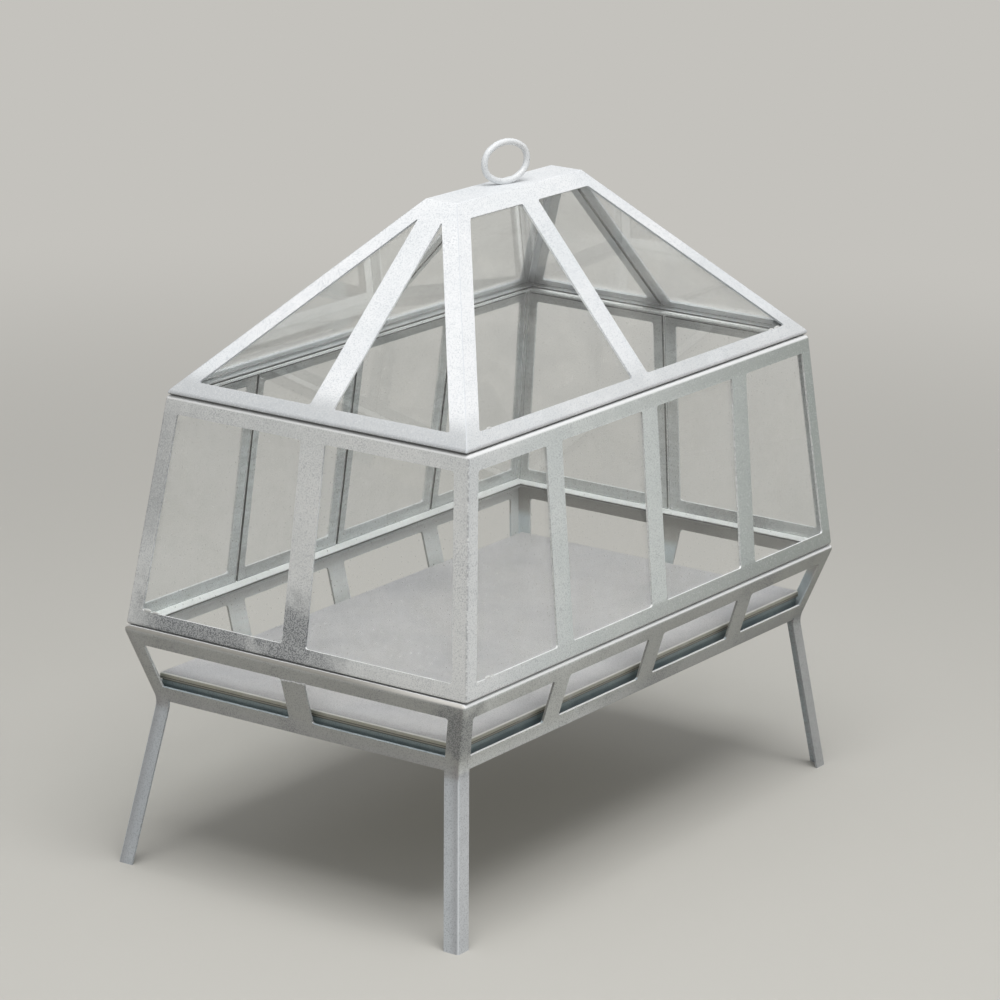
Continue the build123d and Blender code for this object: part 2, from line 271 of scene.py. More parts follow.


# %% [markdown]
# ## Layers of dirt, and of painted light and shade
#
# Dirt stays where rain can't wash it off: on the inside, in bands and along the folds.
# Painted shade, with dirt, darkens the gaps between two frames, and more painted shade
# lies under rims, beside folds and along the long sides, where painted light lifts other
# parts. So each mask here comes from a place, in mm, or from the way that a face looks,
# and a noise texture breaks it up.


# %% Thin paint inside, darker short sides, painted light and shade outside
def bare_inside(paint, bare):
    """Thinly painted faces that look towards the middle, with streaks along the rails."""
    level = paint.node("ShaderNodeVectorMath", MULTIPLY, _0=paint.at, _1=(1, 1, 0))
    outward = paint.node("ShaderNodeVectorMath", {"operation": "DOT_PRODUCT"}, _0=level,
                         _1=paint.normal)
    inside = paint.node("ShaderNodeMapRange", SOFT, Value=outward.outputs["Value"],
                        From_Min=-0.01, From_Max=-0.04, To_Max=0.85)
    stretched = paint.node("ShaderNodeMapping", Vector=paint.at, Scale=(0.12, 0.12, 3.0))
    uneven = paint.node("ShaderNodeTexNoise", Vector=stretched, Scale=90.0, Detail=3.0)
    streaks = paint.node("ShaderNodeMapRange", SOFT, Value=uneven, From_Min=0.35, From_Max=0.70)
    zinc = paint.node("ShaderNodeMix", {"data_type": "RGBA"}, _0=streaks, _6=chart(bare),
                      _7=paint.cloud)
    paint.lay(zinc.outputs[2], inside)


def darker_short_sides(paint, short_tone, share, lowest, highest):
    """A darker tone on the short sides, between two heights in mm."""
    short = paint.node("ShaderNodeMapRange", SOFT, Value=paint.sideways, From_Min=0.45,
                       From_Max=0.75, To_Max=share)
    paint.lay(short_tone, short, paint.between("Z", lowest - 12, lowest),
              paint.between("Z", highest + 12, highest))


def long_side_light_and_shade(paint, tone, share, x, z):
    """Painted light and shade on the outside of both long sides, a tone from clear to full in x
    and in z.
    """
    # y times the normal's y is only large on the outside of the two long sides
    outward = paint.node("ShaderNodeMath", MULTIPLY, _0=paint.place["Y"], _1=paint.facing["Y"])
    outside = paint.node("ShaderNodeMapRange", SOFT, Value=outward, From_Min=0.05,
                         From_Max=0.10, To_Max=share)
    paint.lay(tone, outside, paint.between("X", *x), paint.between("Z", *z))


# %% Painted shade and dirt along folds, in bands and in gaps
def shade_beside_folds(paint, tone, share):
    """Painted shade on the stand's short sides beside the folds, down the skirt and the leg."""
    (_, low), (_, high), _, _ = STAND
    off = paint.node("ShaderNodeMath", MAXIMUM,
                     _0=paint.off_fold("Y", KNEE, low, TOP, high),
                     _1=paint.off_fold("Y", 0.0, low + SPLAY[1], KNEE, low))
    beside = paint.node("ShaderNodeMapRange", SOFT, Value=off, From_Min=11 * MM,
                        From_Max=2 * MM, To_Max=share)
    short = paint.node("ShaderNodeMapRange", SOFT, Value=paint.sideways, From_Min=0.6,
                       From_Max=0.9)
    paint.lay(tone, beside, short)


def fold_specks(paint, low, high, low_z, high_z):
    """Specks of dirt that sit along the corner folds of a tapered frame."""
    off = paint.node("ShaderNodeMath", MAXIMUM,
                     _0=paint.off_fold("X", low_z, low[0], high_z, high[0]),
                     _1=paint.off_fold("Y", low_z, low[1], high_z, high[1]))
    line = paint.node("ShaderNodeMapRange", SOFT, Value=off, From_Min=2.0 * MM,
                      From_Max=0.8 * MM)
    uneven = paint.node("ShaderNodeTexNoise", Vector=paint.at, Scale=330.0, Detail=3.0,
                        Roughness=0.7)
    specks = paint.node("ShaderNodeMapRange", SOFT, Value=uneven, From_Min=0.36, From_Max=0.64,
                        To_Max=0.70)
    paint.lay("#85868A", line, specks)


def dirt_and_painted_light_band(paint, dirt, share, clear, full):
    """A broken band, from a height where it is clear to one where it is full. It draws dirt,
    and also painted light and shade.
    """
    uneven = paint.node("ShaderNodeTexNoise", Vector=paint.at, Scale=28.0, Detail=3.0,
                        Roughness=0.6)
    broken = paint.node("ShaderNodeMapRange", SOFT, Value=uneven, From_Min=0.10, From_Max=0.52,
                        To_Max=share)
    paint.lay(dirt, paint.between("Z", clear, full), broken)


def gap_dirt_and_shade(paint, height):
    """The gap under a frame, black below a height: dirt and painted shade."""
    paint.lay("#171613", paint.between("Z", height + 0.5, height))


# %% [markdown]
# ## Layers of wear
#
# Sand lies on every paint. Real grains are too fine to show, so they are drawn coarser,
# at about 1.2 mm. A slow noise texture decides where they crowd. Where the paint has worn
# through, it turns grey all over, and dark grains of bare metal stand in it.


# %% Sand and white grains
def sand(paint, grain, crowding):
    """Dark grains 1.2 mm across, which crowd in patches 50 mm across."""
    slow = paint.node("ShaderNodeTexNoise", Vector=paint.at, Scale=19.0, Detail=3.0,
                      Roughness=0.55)
    paint.crowd = paint.node("ShaderNodeMapRange", SOFT, Value=slow, From_Min=0.48,
                             From_Max=0.70, To_Max=crowding)
    paint.grains = paint.node("ShaderNodeTexNoise", Vector=paint.at, Scale=820.0, Detail=1.0,
                              Roughness=0.6)
    start = paint.node("ShaderNodeMath", {"operation": "MULTIPLY_ADD"}, _0=paint.crowd,
                       _1=-0.09, _2=0.50)
    end = paint.node("ShaderNodeMath", {"operation": "ADD"}, _0=start, _1=0.16)
    shown = paint.node("ShaderNodeMapRange", Value=paint.grains, From_Min=start, From_Max=end)
    share = paint.node("ShaderNodeMath", {"operation": "MULTIPLY_ADD"}, _0=paint.crowd,
                       _1=0.30, _2=0.45)
    paint.lay(grain, shown, share)


def white_grains(paint, share):
    """A few grains that are whiter than the paint between them."""
    fine = paint.node("ShaderNodeTexNoise", Vector=paint.at, Scale=900.0, Detail=1.0,
                      Roughness=0.6)
    paint.lay("#F4F5F6", paint.node("ShaderNodeMapRange", SOFT, Value=fine, From_Min=0.54,
                                    From_Max=0.68, To_Max=share))


# %% Worn patches
def worn_patches(paint, *patches):
    """Ragged worn patches, given as (middle, reach, share) with places in mm."""
    uneven = paint.node("ShaderNodeTexNoise", Vector=paint.at, Scale=45.0, Detail=3.0,
                        Roughness=0.7)
    ragged = paint.node("ShaderNodeMath", {"operation": "MULTIPLY_ADD"}, _0=uneven, _1=0.06,
                        _2=-0.03)
    worn = 0.0
    for middle, reach, share in patches:
        away = paint.node("ShaderNodeVectorMath", {"operation": "DISTANCE"}, _0=paint.at,
                          _1=[v * MM for v in middle]).outputs["Value"]
        away = paint.node("ShaderNodeMath", {"operation": "ADD"}, _0=away, _1=ragged)
        patch = paint.node("ShaderNodeMapRange", SOFT, Value=away, From_Min=reach * MM,
                           From_Max=0.35 * reach * MM, To_Max=share)
        worn = paint.node("ShaderNodeMath", MAXIMUM, _0=worn, _1=patch)
    paint.lay("#818488", worn, 0.56)
    fine = paint.node("ShaderNodeTexNoise", Vector=paint.at, Scale=900.0, Detail=1.0,
                      Roughness=0.6)
    dark_grains = paint.node("ShaderNodeMapRange", SOFT, Value=fine, From_Min=0.47,
                             From_Max=0.56, To_Max=0.86)
    paint.lay("#484B50", dark_grains, worn)


# %% Painted light and shade on rims, folds and bends
def rim_light_and_shade(paint, long_rim, short_rim, front_end, low_rim):
    """Painted light on faces that look up, most of all on rims: a painted highlight in a pale
    tone, painted shade in a dark one.

    Four colours: on the long sides, on the short sides, towards the front end of the
    short sides, and on their rims below 200 mm.
    """
    mix = {"data_type": "RGBA"}
    rim = paint.node("ShaderNodeMix", mix, _0=paint.between("Y", -40, -175),
                     _6=chart(short_rim), _7=chart(front_end))
    short = paint.node("ShaderNodeMapRange", SOFT, Value=paint.sideways, From_Min=0.08,
                       From_Max=0.30)
    rim = paint.node("ShaderNodeMix", mix, _0=short, _6=chart(long_rim), _7=rim.outputs[2])
    low = paint.node("ShaderNodeMath", MULTIPLY, _0=short, _1=paint.between("Z", 200, 190))
    rim = paint.node("ShaderNodeMix", mix, _0=low, _6=rim.outputs[2], _7=chart(low_rim))
    paint.lay(rim.outputs[2], paint.node("ShaderNodeMapRange", SOFT, Value=paint.facing["Z"],
                                         From_Min=0.05, From_Max=0.50, To_Max=0.92))


def fold_light_and_shade(paint, tone, share, first, full, height):
    """A painted tone along corner folds below a height, on the bend, which faces both ways at
    once: a painted highlight when pale, painted shade when dark.
    """
    both_ways = paint.node("ShaderNodeMath", MULTIPLY, _0=paint.facing["X"],
                           _1=paint.facing["Y"])
    bend = paint.node("ShaderNodeMath", {"operation": "ABSOLUTE"}, _0=both_ways)
    fold_mask = paint.node("ShaderNodeMapRange", SOFT, Value=bend, From_Min=first, From_Max=full,
                        To_Max=share)
    paint.lay(tone, fold_mask, paint.between("Z", height + 6, height - 8))


def bend_highlight(paint, tone):
    """A painted highlight on the bend between a level top and its lip."""
    up = paint.facing["Z"]
    paint.lay(tone, paint.node("ShaderNodeMapRange", SOFT, Value=up, From_Min=0.995,
                               From_Max=0.93),
              paint.node("ShaderNodeMapRange", SOFT, Value=up, From_Min=0.25, From_Max=0.55))


# %% Chips, and the end of a paint
def chips(paint, tone):
    """Small chips 3 mm across."""
    uneven = paint.node("ShaderNodeTexNoise", Vector=paint.at, Scale=330.0, Detail=3.0,
                        Roughness=0.6)
    paint.lay(tone, paint.node("ShaderNodeMapRange", SOFT, Value=uneven, From_Min=0.65,
                               From_Max=0.69, To_Max=0.65))


def close_paint(paint, relief=1.0):
    """Give the layers their relief and their roughness, and end the material."""
    fine = paint.node("ShaderNodeBump", Strength=0.30 * relief, Distance=0.25 * MM,
                      Height=paint.grains)
    slow = paint.node("ShaderNodeTexNoise", Vector=paint.at, Scale=40.0)
    waves = paint.node("ShaderNodeBump", Strength=0.20 * relief, Distance=1.2 * MM,
                       Height=slow, Normal=fine)
    rough = paint.node("ShaderNodeMapRange", Value=paint.crowd, To_Min=0.38, To_Max=0.62)
    skin = paint.node("ShaderNodeBsdfPrincipled", Base_Color=paint.colour, Roughness=rough,
                      Normal=waves, IOR=1.5)
    paint.material.node_tree.links.new(skin.outputs[0], paint.output.inputs["Surface"])
    print("paint:", paint.material.name)


# %% [markdown]
# ## The paint of the lid and the ring
#
# The lid is the whitest part, since rain reaches all of it. It is greyer along its low
# edge, painted shade darkens the fold under that and its corner folds, and the ring on top
# is chipped.

# %% Lid and ring
lid_white = Paint("lid_chalky_white_paint", "#EAEBEC", "#DEE1E3")
bare_inside(lid_white, "#DDE3E5")
darker_short_sides(lid_white, "#94979A", 0.62, lowest=430, highest=446)
dirt_and_painted_light_band(lid_white, "#BDBFBF", 0.50, clear=466, full=446)
# painted shade on the low fold, which turns down
dirt_and_painted_light_band(lid_white, "#7D7F80", 0.55, clear=440.5, full=437)
sand(lid_white, "#A4AAB0", crowding=0.34)
white_grains(lid_white, 0.26)
# painted shade along the corner folds, which dims their highlight
fold_light_and_shade(lid_white, "#C4C8CC", 0.75, first=0.05, full=0.13, height=700)
# dirt and painted shade, black in the gap along the lid's foot
gap_dirt_and_shade(lid_white, 436.5)
close_paint(lid_white)

ring_white = Paint("ring_chipped_white_paint", "#E6E7E8", "#D9DCDE")
sand(ring_white, "#BCC0C4", crowding=0.30)
chips(ring_white, "#77736C")
close_paint(ring_white, relief=0.3)

# %% [markdown]
# ## The paint of the walls
#
# The walls are worn grey along the foot of the left side, more lightly up its far post,
# and in a few places on the back and the right. Painted shade darkens their long sides
# towards the right-hand end, their rails most of all, and a painted highlight whitens
# their rims.

# %% Walls
walls_white = Paint("walls_weathered_white_paint", "#DEE0E0", "#CDD1D2")
# the thin paint inside is drawn near white here: a painted light that lifts the inner faces out
# of their shade, over the real streaks
bare_inside(walls_white, "#E8ECED")
darker_short_sides(walls_white, "#BDB9B0", 0.28, lowest=225, highest=440)
# painted shade: the long sides darken towards the right-hand end, low down and on the top rail
# most of all, over a greener tone from x -100 mm on
for tone, share, x, z in (
    ("#C8D4CD", 0.36, (-300, -100), (220, 221)),
    ("#8B948E", 0.78, (-60, 300), (220, 221)),
    ("#868B84", 0.50, (-240, 60), (244, 238)),
    ("#8F948F", 0.30, (-240, 60), (418, 424)),
):
    long_side_light_and_shade(walls_white, tone, share, x, z)
sand(walls_white, "#8A8D92", crowding=0.45)
white_grains(walls_white, 0.32)
worn_patches(
    walls_white,
    ((-312, 100, 230), 95, 1.00), ((-310, 8, 236), 62, 1.00), ((-300, 165, 368), 85, 0.38),
    ((-309, -22, 232), 44, 0.70), ((311, -70, 236), 70, 0.80), ((308, 150, 300), 60, 0.50),
    ((-110, 181, 233), 60, 0.60))
# painted highlight on the rims and on all faces that look up
rim_light_and_shade(walls_white, "#EFF0F0", "#F8F9F9", "#F8F9F9", "#EFF0F0")
fold_specks(walls_white, *WALLS)
# dirt and painted shade, black in the gap along the walls' foot
gap_dirt_and_shade(walls_white, 226.2)
close_paint(walls_white)

# %% [markdown]
# ## The paint of the stand
#
# The stand is the greyest part. It sheds the water of the frames above, and splashes
# from the ground reach it.

# %% Stand
stand_grey = Paint("stand_grey_white_paint", "#C3C6C9", "#B1B4B8")
bare_inside(stand_grey, "#B9C4C8")
darker_short_sides(stand_grey, "#86817A", 0.46, lowest=153, highest=230)
# painted light on the long sides towards the left end above the knee, and painted shade towards
# the right, deepest at the far right above the knee
for tone, share, x, z in (
    ("#F2F5F1", 0.47, (60, -160), (150, 156)),
    ("#85857F", 0.55, (-160, 60), (0, 1)),
    ("#5C5E58", 0.50, (120, 300), (150, 156)),
):
    long_side_light_and_shade(stand_grey, tone, share, x, z)
# painted shade beside the folds on the short sides
shade_beside_folds(stand_grey, "#857F80", 0.45)
dirt_and_painted_light_band(stand_grey, "#A5A69E", 0.45, clear=150, full=172)
sand(stand_grey, "#6C6E72", crowding=0.62)
worn_patches(stand_grey, ((-309, -176, 192), 40, 0.75))
# painted highlight on the long rims and, bluish, on the low rails' edges; painted shade on the
# short rims, lighter towards the front
rim_light_and_shade(stand_grey, "#F8F9F9", "#8D8A83", "#CFCCC6", "#BAC6CC")
# painted highlight along the folds below 150 mm, down the legs
fold_light_and_shade(stand_grey, "#E6E8EA", 0.60, first=0.36, full=0.49, height=150)
close_paint(stand_grey)

# %% [markdown]
# ## The finish of the bearers and the tray
#
# The bearers were dipped in zinc like the frames and never painted, so they are darker
# and bluer. A painted shadow lies along their top, under the tray's lip, and painted shade
# darkens them down by the rails. The tray is a sheet with a pale grey enamel, which flows
# smooth, so its relief is half as deep. Its bend has a painted highlight, and the lip below
# it a painted reflection of the ground, crossed by a painted shadow line.

# %% Bearers and tray
bearer_zinc = Paint("bearer_bare_zinc", "#A3AFAF", "#87969A")
# a painted shadow along the top, under the tray's lip, and painted shade low down by the rails
dirt_and_painted_light_band(bearer_zinc, "#3F3A31", 0.80, clear=171.9, full=172.4)
dirt_and_painted_light_band(bearer_zinc, "#46545A", 0.42, clear=169.8, full=168.4)
sand(bearer_zinc, "#66706E", crowding=0.40)
close_paint(bearer_zinc)

tray_enamel = Paint("tray_pale_enamel", "#C3C1C2", "#B6B5B8")
# a painted reflection of the ground on the lip, crossed by a painted shadow line
dirt_and_painted_light_band(tray_enamel, "#AAA898", 1.00, clear=179.2, full=178.7)
dirt_and_painted_light_band(tray_enamel, "#4A453B", 0.85, clear=175.8, full=175.4)
dirt_and_painted_light_band(tray_enamel, "#98968A", 1.00, clear=174.9, full=174.5)
sand(tray_enamel, "#8D8C8F", crowding=0.30)
# painted highlight on the bend of the tray
bend_highlight(tray_enamel, "#E9E8E3")
close_paint(tray_enamel, relief=0.5)

# %% [markdown]
# ## The glass
#
# Plain 3 mm horticultural glass. It is clear, bends light at 1.5 and is faintly green.
# Cycles would take a bent path for every lamp ray, so shadow rays pass straight
# through instead, and what stands inside is lit. Outdoor dust is a thin pale film with
# small specks, drawn a little coarser than real so that it shows.

# %% Horticultural glass
glass, glass_out = new_material("horticultural_glass")
at = node(glass, "ShaderNodeTexCoord").outputs["Object"]
clear_glass = node(glass, "ShaderNodeBsdfPrincipled", Base_Color=chart("#FCFDFD"),
                   Roughness=0.012, IOR=1.5, Transmission_Weight=1.0)
film = node(glass, "ShaderNodeTexNoise", Vector=at, Scale=16.0, Detail=4.0, Roughness=0.65)
film_depth = node(glass, "ShaderNodeMapRange", SOFT, Value=film, From_Min=0.40, From_Max=0.75,
                  To_Max=0.07)
specks = node(glass, "ShaderNodeTexVoronoi", Vector=at, Scale=170.0)
speck_depth = node(glass, "ShaderNodeMapRange", Value=specks.outputs["Distance"],
                   From_Min=0.13, From_Max=0.06, To_Max=0.38)
dust_depth = node(glass, "ShaderNodeMath", MAXIMUM, _0=film_depth, _1=speck_depth)
dust = node(glass, "ShaderNodeBsdfDiffuse", Color=chart("#D9D6CE"))
dusty = node(glass, "ShaderNodeMixShader", _0=dust_depth, _1=clear_glass, _2=dust)
straight_through = node(glass, "ShaderNodeBsdfTransparent", Color=chart("#F8FAF9"))
ray = node(glass, "ShaderNodeLightPath")
pane = node(glass, "ShaderNodeMixShader", _0=ray.outputs["Is Shadow Ray"], _1=dusty,
            _2=straight_through)
glass.node_tree.links.new(pane.outputs[0], glass_out.inputs["Surface"])
for name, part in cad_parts.items():
    if "glass" in name:
        part.data.materials[0] = glass
        print("glazed:", name)

# %% [markdown]
# ## How a frame is folded
#
# A real frame of this kind is angle and flat bar, welded and ground flush, so outside
# no joint shows and every opening has small rounded corners. It could be built bar by
# bar, but each joint would show as a groove. Here the outside skin is made first, as a
# tapered box with no thickness: the lines of rails, posts and bars are cut with planes,
# opening corners are rounded, the openings are taken out and the rims are inset. Then
# the folds are rounded, the skin is given its 2 mm, and the cut edges are eased.


# %% Selecting by place, and starting from a clean slate
NEAR = 0.01 * MM          # two places this close are one


def clear_selection():
    """Leave edit mode and deselect all, since loading leaves the solid model selected."""
    if bpy.context.object and bpy.context.object.mode != "OBJECT":
        bpy.ops.object.mode_set(mode="OBJECT")
    bpy.ops.object.select_all(action="DESELECT")


def work_on(piece):
    """Select one object alone and make it the active one."""
    clear_selection()
    bpy.context.view_layer.objects.active = piece
    piece.select_set(True)


def pick(kind, wanted):
    """In edit mode, select every vertex, edge or face that wanted() says yes to."""
    bpy.ops.mesh.select_mode(type=kind)
    bpy.ops.mesh.select_all(action="DESELECT")
    data = bmesh.from_edit_mesh(bpy.context.object.data)
    data.normal_update()
    group = {"VERT": data.verts, "EDGE": data.edges, "FACE": data.faces}[kind]
    chosen = [item for item in group if wanted(item)]
    for item in chosen:
        item.select_set(True)
    bmesh.update_edit_mesh(bpy.context.object.data)
    return len(chosen)


def side_of(normal):
    """Name the side that a face belongs to, or None for a level one."""
    if abs(normal.x) > 0.5 and abs(normal.x) > abs(normal.y):
        return "right" if normal.x > 0 else "left"
    if abs(normal.y) > 0.5:
        return "back" if normal.y > 0 else "front"
    return None


def level_at(item, z):
    """Whether an edge or a face lies level at a height."""
    return all(abs(v.co.z - z) < NEAR for v in item.verts)


# %% Cutting the lines of a tapered box
class Skin:
    """A tapered box: half sizes at its low and high edge, and the two heights, in metres."""

    def __init__(self, name, low, high, low_z, high_z):
        self.low, self.high, self.low_z, self.high_z = low, high, low_z, high_z
        clear_selection()
        bpy.ops.mesh.primitive_cube_add(size=2, location=(0, 0, 0))
        self.object = bpy.context.object
        self.object.name = name
        bpy.ops.object.mode_set(mode="EDIT")
        for z, half, level in ((-1, low, low_z), (1, high, high_z)):
            pick("VERT", lambda v: abs(v.co.z - z) < 0.01 and abs(abs(v.co.x) - 1) < 0.01)
            bpy.ops.transform.resize(value=(half[0], half[1], 1), center_override=(0, 0, z))
            bpy.ops.transform.translate(value=(0, 0, level - z))

    def corner(self, sx, sy, high=False):
        """The low or the high corner at a sign of x and a sign of y."""
        half = self.high if high else self.low
        return Vector((sx * half[0], sy * half[1], self.high_z if high else self.low_z))

    def ends(self, side):
        """The two corners of a side, as signs of x and y."""
        return {"front": ((-1, -1), (1, -1)), "right": ((1, -1), (1, 1)),
                "back": ((1, 1), (-1, 1)), "left": ((-1, 1), (-1, -1))}[side]

    def outward(self, side):
        """The direction that a side faces."""
        first, second = (self.corner(*end) for end in self.ends(side))
        top = self.corner(*self.ends(side)[0], high=True)
        return (second - first).cross(top - first).normalized()

    def strip_line(self, side, end, width):
        """Point and direction, square to a corner line and in the side's face, at a width."""
        foot, top = self.corner(*end), self.corner(*end, high=True)
        other = self.corner(*[e for e in self.ends(side) if e != end][0])
        up = (top - foot).normalized()
        across = (other - foot) - up * (other - foot).dot(up)
        across.normalize()
        return foot + across * width, across

    def cut(self, side, point, normal):
        """Score one line over the faces of a side."""
        if pick("FACE", lambda f: side_of(f.normal) == side):
            bpy.ops.mesh.bisect(plane_co=point, plane_no=normal)

    def rim(self, z, width):
        """Turn the level face at a height into a flange of a width."""
        pick("FACE", lambda f: abs(f.normal.z) > 0.99 and level_at(f, z))
        bpy.ops.mesh.inset(thickness=width, use_even_offset=True)
        bpy.ops.mesh.delete(type="FACE")


# %% Openings: lines of rails, posts and bars, then rounding and taking out
POST = 15 * MM            # face of a corner angle
FLANGE = 15 * MM          # level flange of a rail
BAR = 25.0                # width of a flat bar, mm
LONG_BARS = (-157.65, 0, 157.65)
MIDDLE_BAR = (0,)
OPENING_CORNER = 2.6 * MM


def everywhere(place):
    """Opening corners are rounded at every place."""
    return True


def open_up(skin, side, low_rail, high_rail, bars, rounded=everywhere):
    """Cut a side's openings, with rails and places of bars in mm.

    rounded() says whether an opening's corner at a place is rounded.
    """
    axis = Vector((1, 0, 0)) if side in LONG_SIDES else Vector((0, 1, 0))
    z_low, z_high = skin.low_z + low_rail * MM, skin.high_z - high_rail * MM
    skin.cut(side, (0, 0, z_low), (0, 0, 1))
    skin.cut(side, (0, 0, z_high), (0, 0, 1))
    lines = [skin.strip_line(side, end, POST) for end in skin.ends(side)]
    for point, across in lines:
        skin.cut(side, point, across)
    for bar in bars:
        for edge in (-BAR / 2, BAR / 2):
            skin.cut(side, axis * (bar + edge) * MM, axis)
    slack = 0.5 * MM

    def inside(place):
        if not z_low + slack < place.z < z_high - slack:
            return False
        if any((place - point).dot(across) < slack for point, across in lines):
            return False
        return all(abs(place.dot(axis) - bar * MM) > BAR / 2 * MM + slack for bar in bars)

    def is_opening(face):
        return side_of(face.normal) == side and inside(face.calc_center_median())

    def spot(vert):
        return tuple(round(c, 6) for c in vert.co)

    count = pick("FACE", is_opening)
    data = bmesh.from_edit_mesh(bpy.context.object.data)
    corners = {spot(vert) for face in data.faces if face.select for vert in face.verts}
    pick("VERT", lambda v: spot(v) in corners and rounded(v.co))
    bpy.ops.mesh.bevel(affect="VERTICES", offset=OPENING_CORNER, segments=4, profile=0.5)
    pick("FACE", is_opening)
    bpy.ops.mesh.delete(type="FACE")
    print(skin.object.name, side, "openings:", count)


# %% Folds, thickness and eased edges
SHEET = 2.0 * MM
WIDEST_BEND = 8.0         # mm of the sheet that a bend of weight 1 takes on each side


def add_modifier(piece, name, kind, **settings):
    """Add a modifier with its settings and apply it at once."""
    made = piece.modifiers.new(name, kind)
    for key, value in settings.items():
        setattr(made, key, value)
    bpy.context.view_layer.objects.active = piece
    bpy.ops.object.modifier_apply(modifier=name)


def corner_fold(edge):
    """An edge between two neighbouring sides."""
    sides = [side_of(f.normal) for f in edge.link_faces]
    return None not in sides and sides[0] != sides[1]


def rim_fold(z):
    """Edges between a side and the level flange at a height."""
    def wanted(edge):
        sides = [side_of(f.normal) for f in edge.link_faces]
        return sum(side is None for side in sides) == 1 and level_at(edge, z)
    return wanted


def fold_sheet(skin, *folds):
    """Round the folds, which are (wanted, radius in mm), and give the skin its thickness."""
    data = bmesh.from_edit_mesh(skin.object.data)
    data.normal_update()
    layers = data.edges.layers.float
    weight = layers.get("bevel_weight_edge") or layers.new("bevel_weight_edge")
    count = 0
    for edge in data.edges:
        for wanted, radius in folds:
            if len(edge.link_faces) == 2 and wanted(edge):
                # a bend of radius r takes r * tan(half its angle) of the sheet on each side
                edge[weight] = radius * math.tan(edge.calc_face_angle() / 2) / WIDEST_BEND
                count += 1
    bmesh.update_edit_mesh(skin.object.data)
    bpy.ops.object.mode_set(mode="OBJECT")
    add_modifier(skin.object, "folds", "BEVEL", limit_method="WEIGHT",
                 width=WIDEST_BEND * MM, segments=5, use_clamp_overlap=False)
    add_modifier(skin.object, "sheet", "SOLIDIFY", thickness=SHEET, offset=-1,
                 use_even_offset=True, use_quality_normals=True)
    print(skin.object.name, "folded edges:", count)


def ease_edges(piece, width=0.45):
    """Break sharp sheet edges by a fraction of a millimetre, so that they catch light."""
    add_modifier(piece, "eased", "BEVEL", limit_method="ANGLE", angle_limit=math.radians(50),
                 width=width * MM, segments=2)
    work_on(piece)
    bpy.ops.object.shade_smooth_by_angle(angle=math.radians(35))
    # flat faces keep flat shading right up to a rounded fold
    add_modifier(piece, "flat_faces", "WEIGHTED_NORMAL", keep_sharp=True, weight=50)
    print(piece.name, "faces:", len(piece.data.polygons))


def belongs(piece, body, paint, replaced=()):
    """Paint a piece, make it move with its frame, and hide what it stands for."""
    piece.data.materials.clear()
    piece.data.materials.append(paint.material)
    if replaced:
        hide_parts(*replaced)
    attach(piece, body)


def nodes_named(*starts):
    """The solid model's nodes whose names start so, apart from glass."""
    return [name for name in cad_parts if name.startswith(starts) and "glass" not in name]


# %% [markdown]
# ## The walls
#
# Four leaning sides with a 15 mm post at each corner. The short sides have one bar, the
# long sides three. The top rim has a wide soft bend that catches the light all along.

# %% Fold the walls
walls = Skin("walls_frame", *WALLS)
for side in LONG_SIDES:
    open_up(walls, side, low_rail=15, high_rail=15.5, bars=LONG_BARS)
for side in SHORT_SIDES:
    open_up(walls, side, low_rail=15, high_rail=15.5, bars=MIDDLE_BAR)
walls.rim(walls.low_z, FLANGE)
walls.rim(walls.high_z, FLANGE)
fold_sheet(walls, (corner_fold, 1.6), (rim_fold(walls.high_z), 4.0),
           (rim_fold(walls.low_z), 2.6))
ease_edges(walls.object)
belongs(walls.object, "walls", walls_white, nodes_named("post_", "walls_"))

# %% [markdown]
# ## The lid
#
# A steep hipped roof with the same corner angles, closed at the top by a flat ridge
# plate. On the long sides the plate is turned down 12.5 mm, and that is the rail there.
# On the short sides nothing is turned down: the hips and the bar run up to the plate's
# own 2 mm, and meet just below it. The lines that are scored up there divide nothing, so
# they are taken out again.

# %% Fold the lid
MEET = 14.0               # mm below the ridge, where hips and bar of a short side have met
lid = Skin("lid_frame", *LID)
for side in LONG_SIDES:
    open_up(lid, side, low_rail=13, high_rail=12.5, bars=MIDDLE_BAR)
for side in SHORT_SIDES:
    open_up(lid, side, low_rail=13, high_rail=2, bars=MIDDLE_BAR)
lid.rim(lid.low_z, FLANGE)


def spare_line(edge):
    """A scored line above the openings of a short side, which divides nothing any more."""
    flat = len(edge.link_faces) == 2 and edge.calc_face_angle() < 0.01
    return (flat and side_of(edge.link_faces[0].normal) in SHORT_SIDES
            and max(v.co.z for v in edge.verts) > lid.high_z - MEET * MM)


print("spare lines near the ridge:", pick("EDGE", spare_line))
bpy.ops.mesh.dissolve_edges(use_verts=True)
fold_sheet(lid, (corner_fold, 1.4), (rim_fold(lid.high_z), 2.2), (rim_fold(lid.low_z), 2.6))
ease_edges(lid.object)
belongs(lid.object, "lid", lid_white,
        nodes_named("hip_", "lid_rails", "lid_bars", "ridge"))

# %% [markdown]
# ## The stand
#
# The skirt is the same kind of skin, wider at the top than at the knee. The corner
# angles then run on below it as legs that splay out. They are extruded from the lower
# corners, and the bend between skirt and leg is rounded as a real bend is.

# %% Cut the skirt
LOW_RAIL = 15             # mm
stand = Skin("stand_frame", *STAND)


def away_from_leg(place):
    """Opening corners are rounded, but not where a low rail butts against a leg."""
    if place.z > KNEE + 20 * MM:
        return True
    for side in SIDES:
        for end in stand.ends(side):
            point, across = stand.strip_line(side, end, POST)
            in_face = abs((place - point).dot(stand.outward(side))) < 1 * MM
            if in_face and (place - point).dot(across) <= 1 * MM:
                return False
    return True


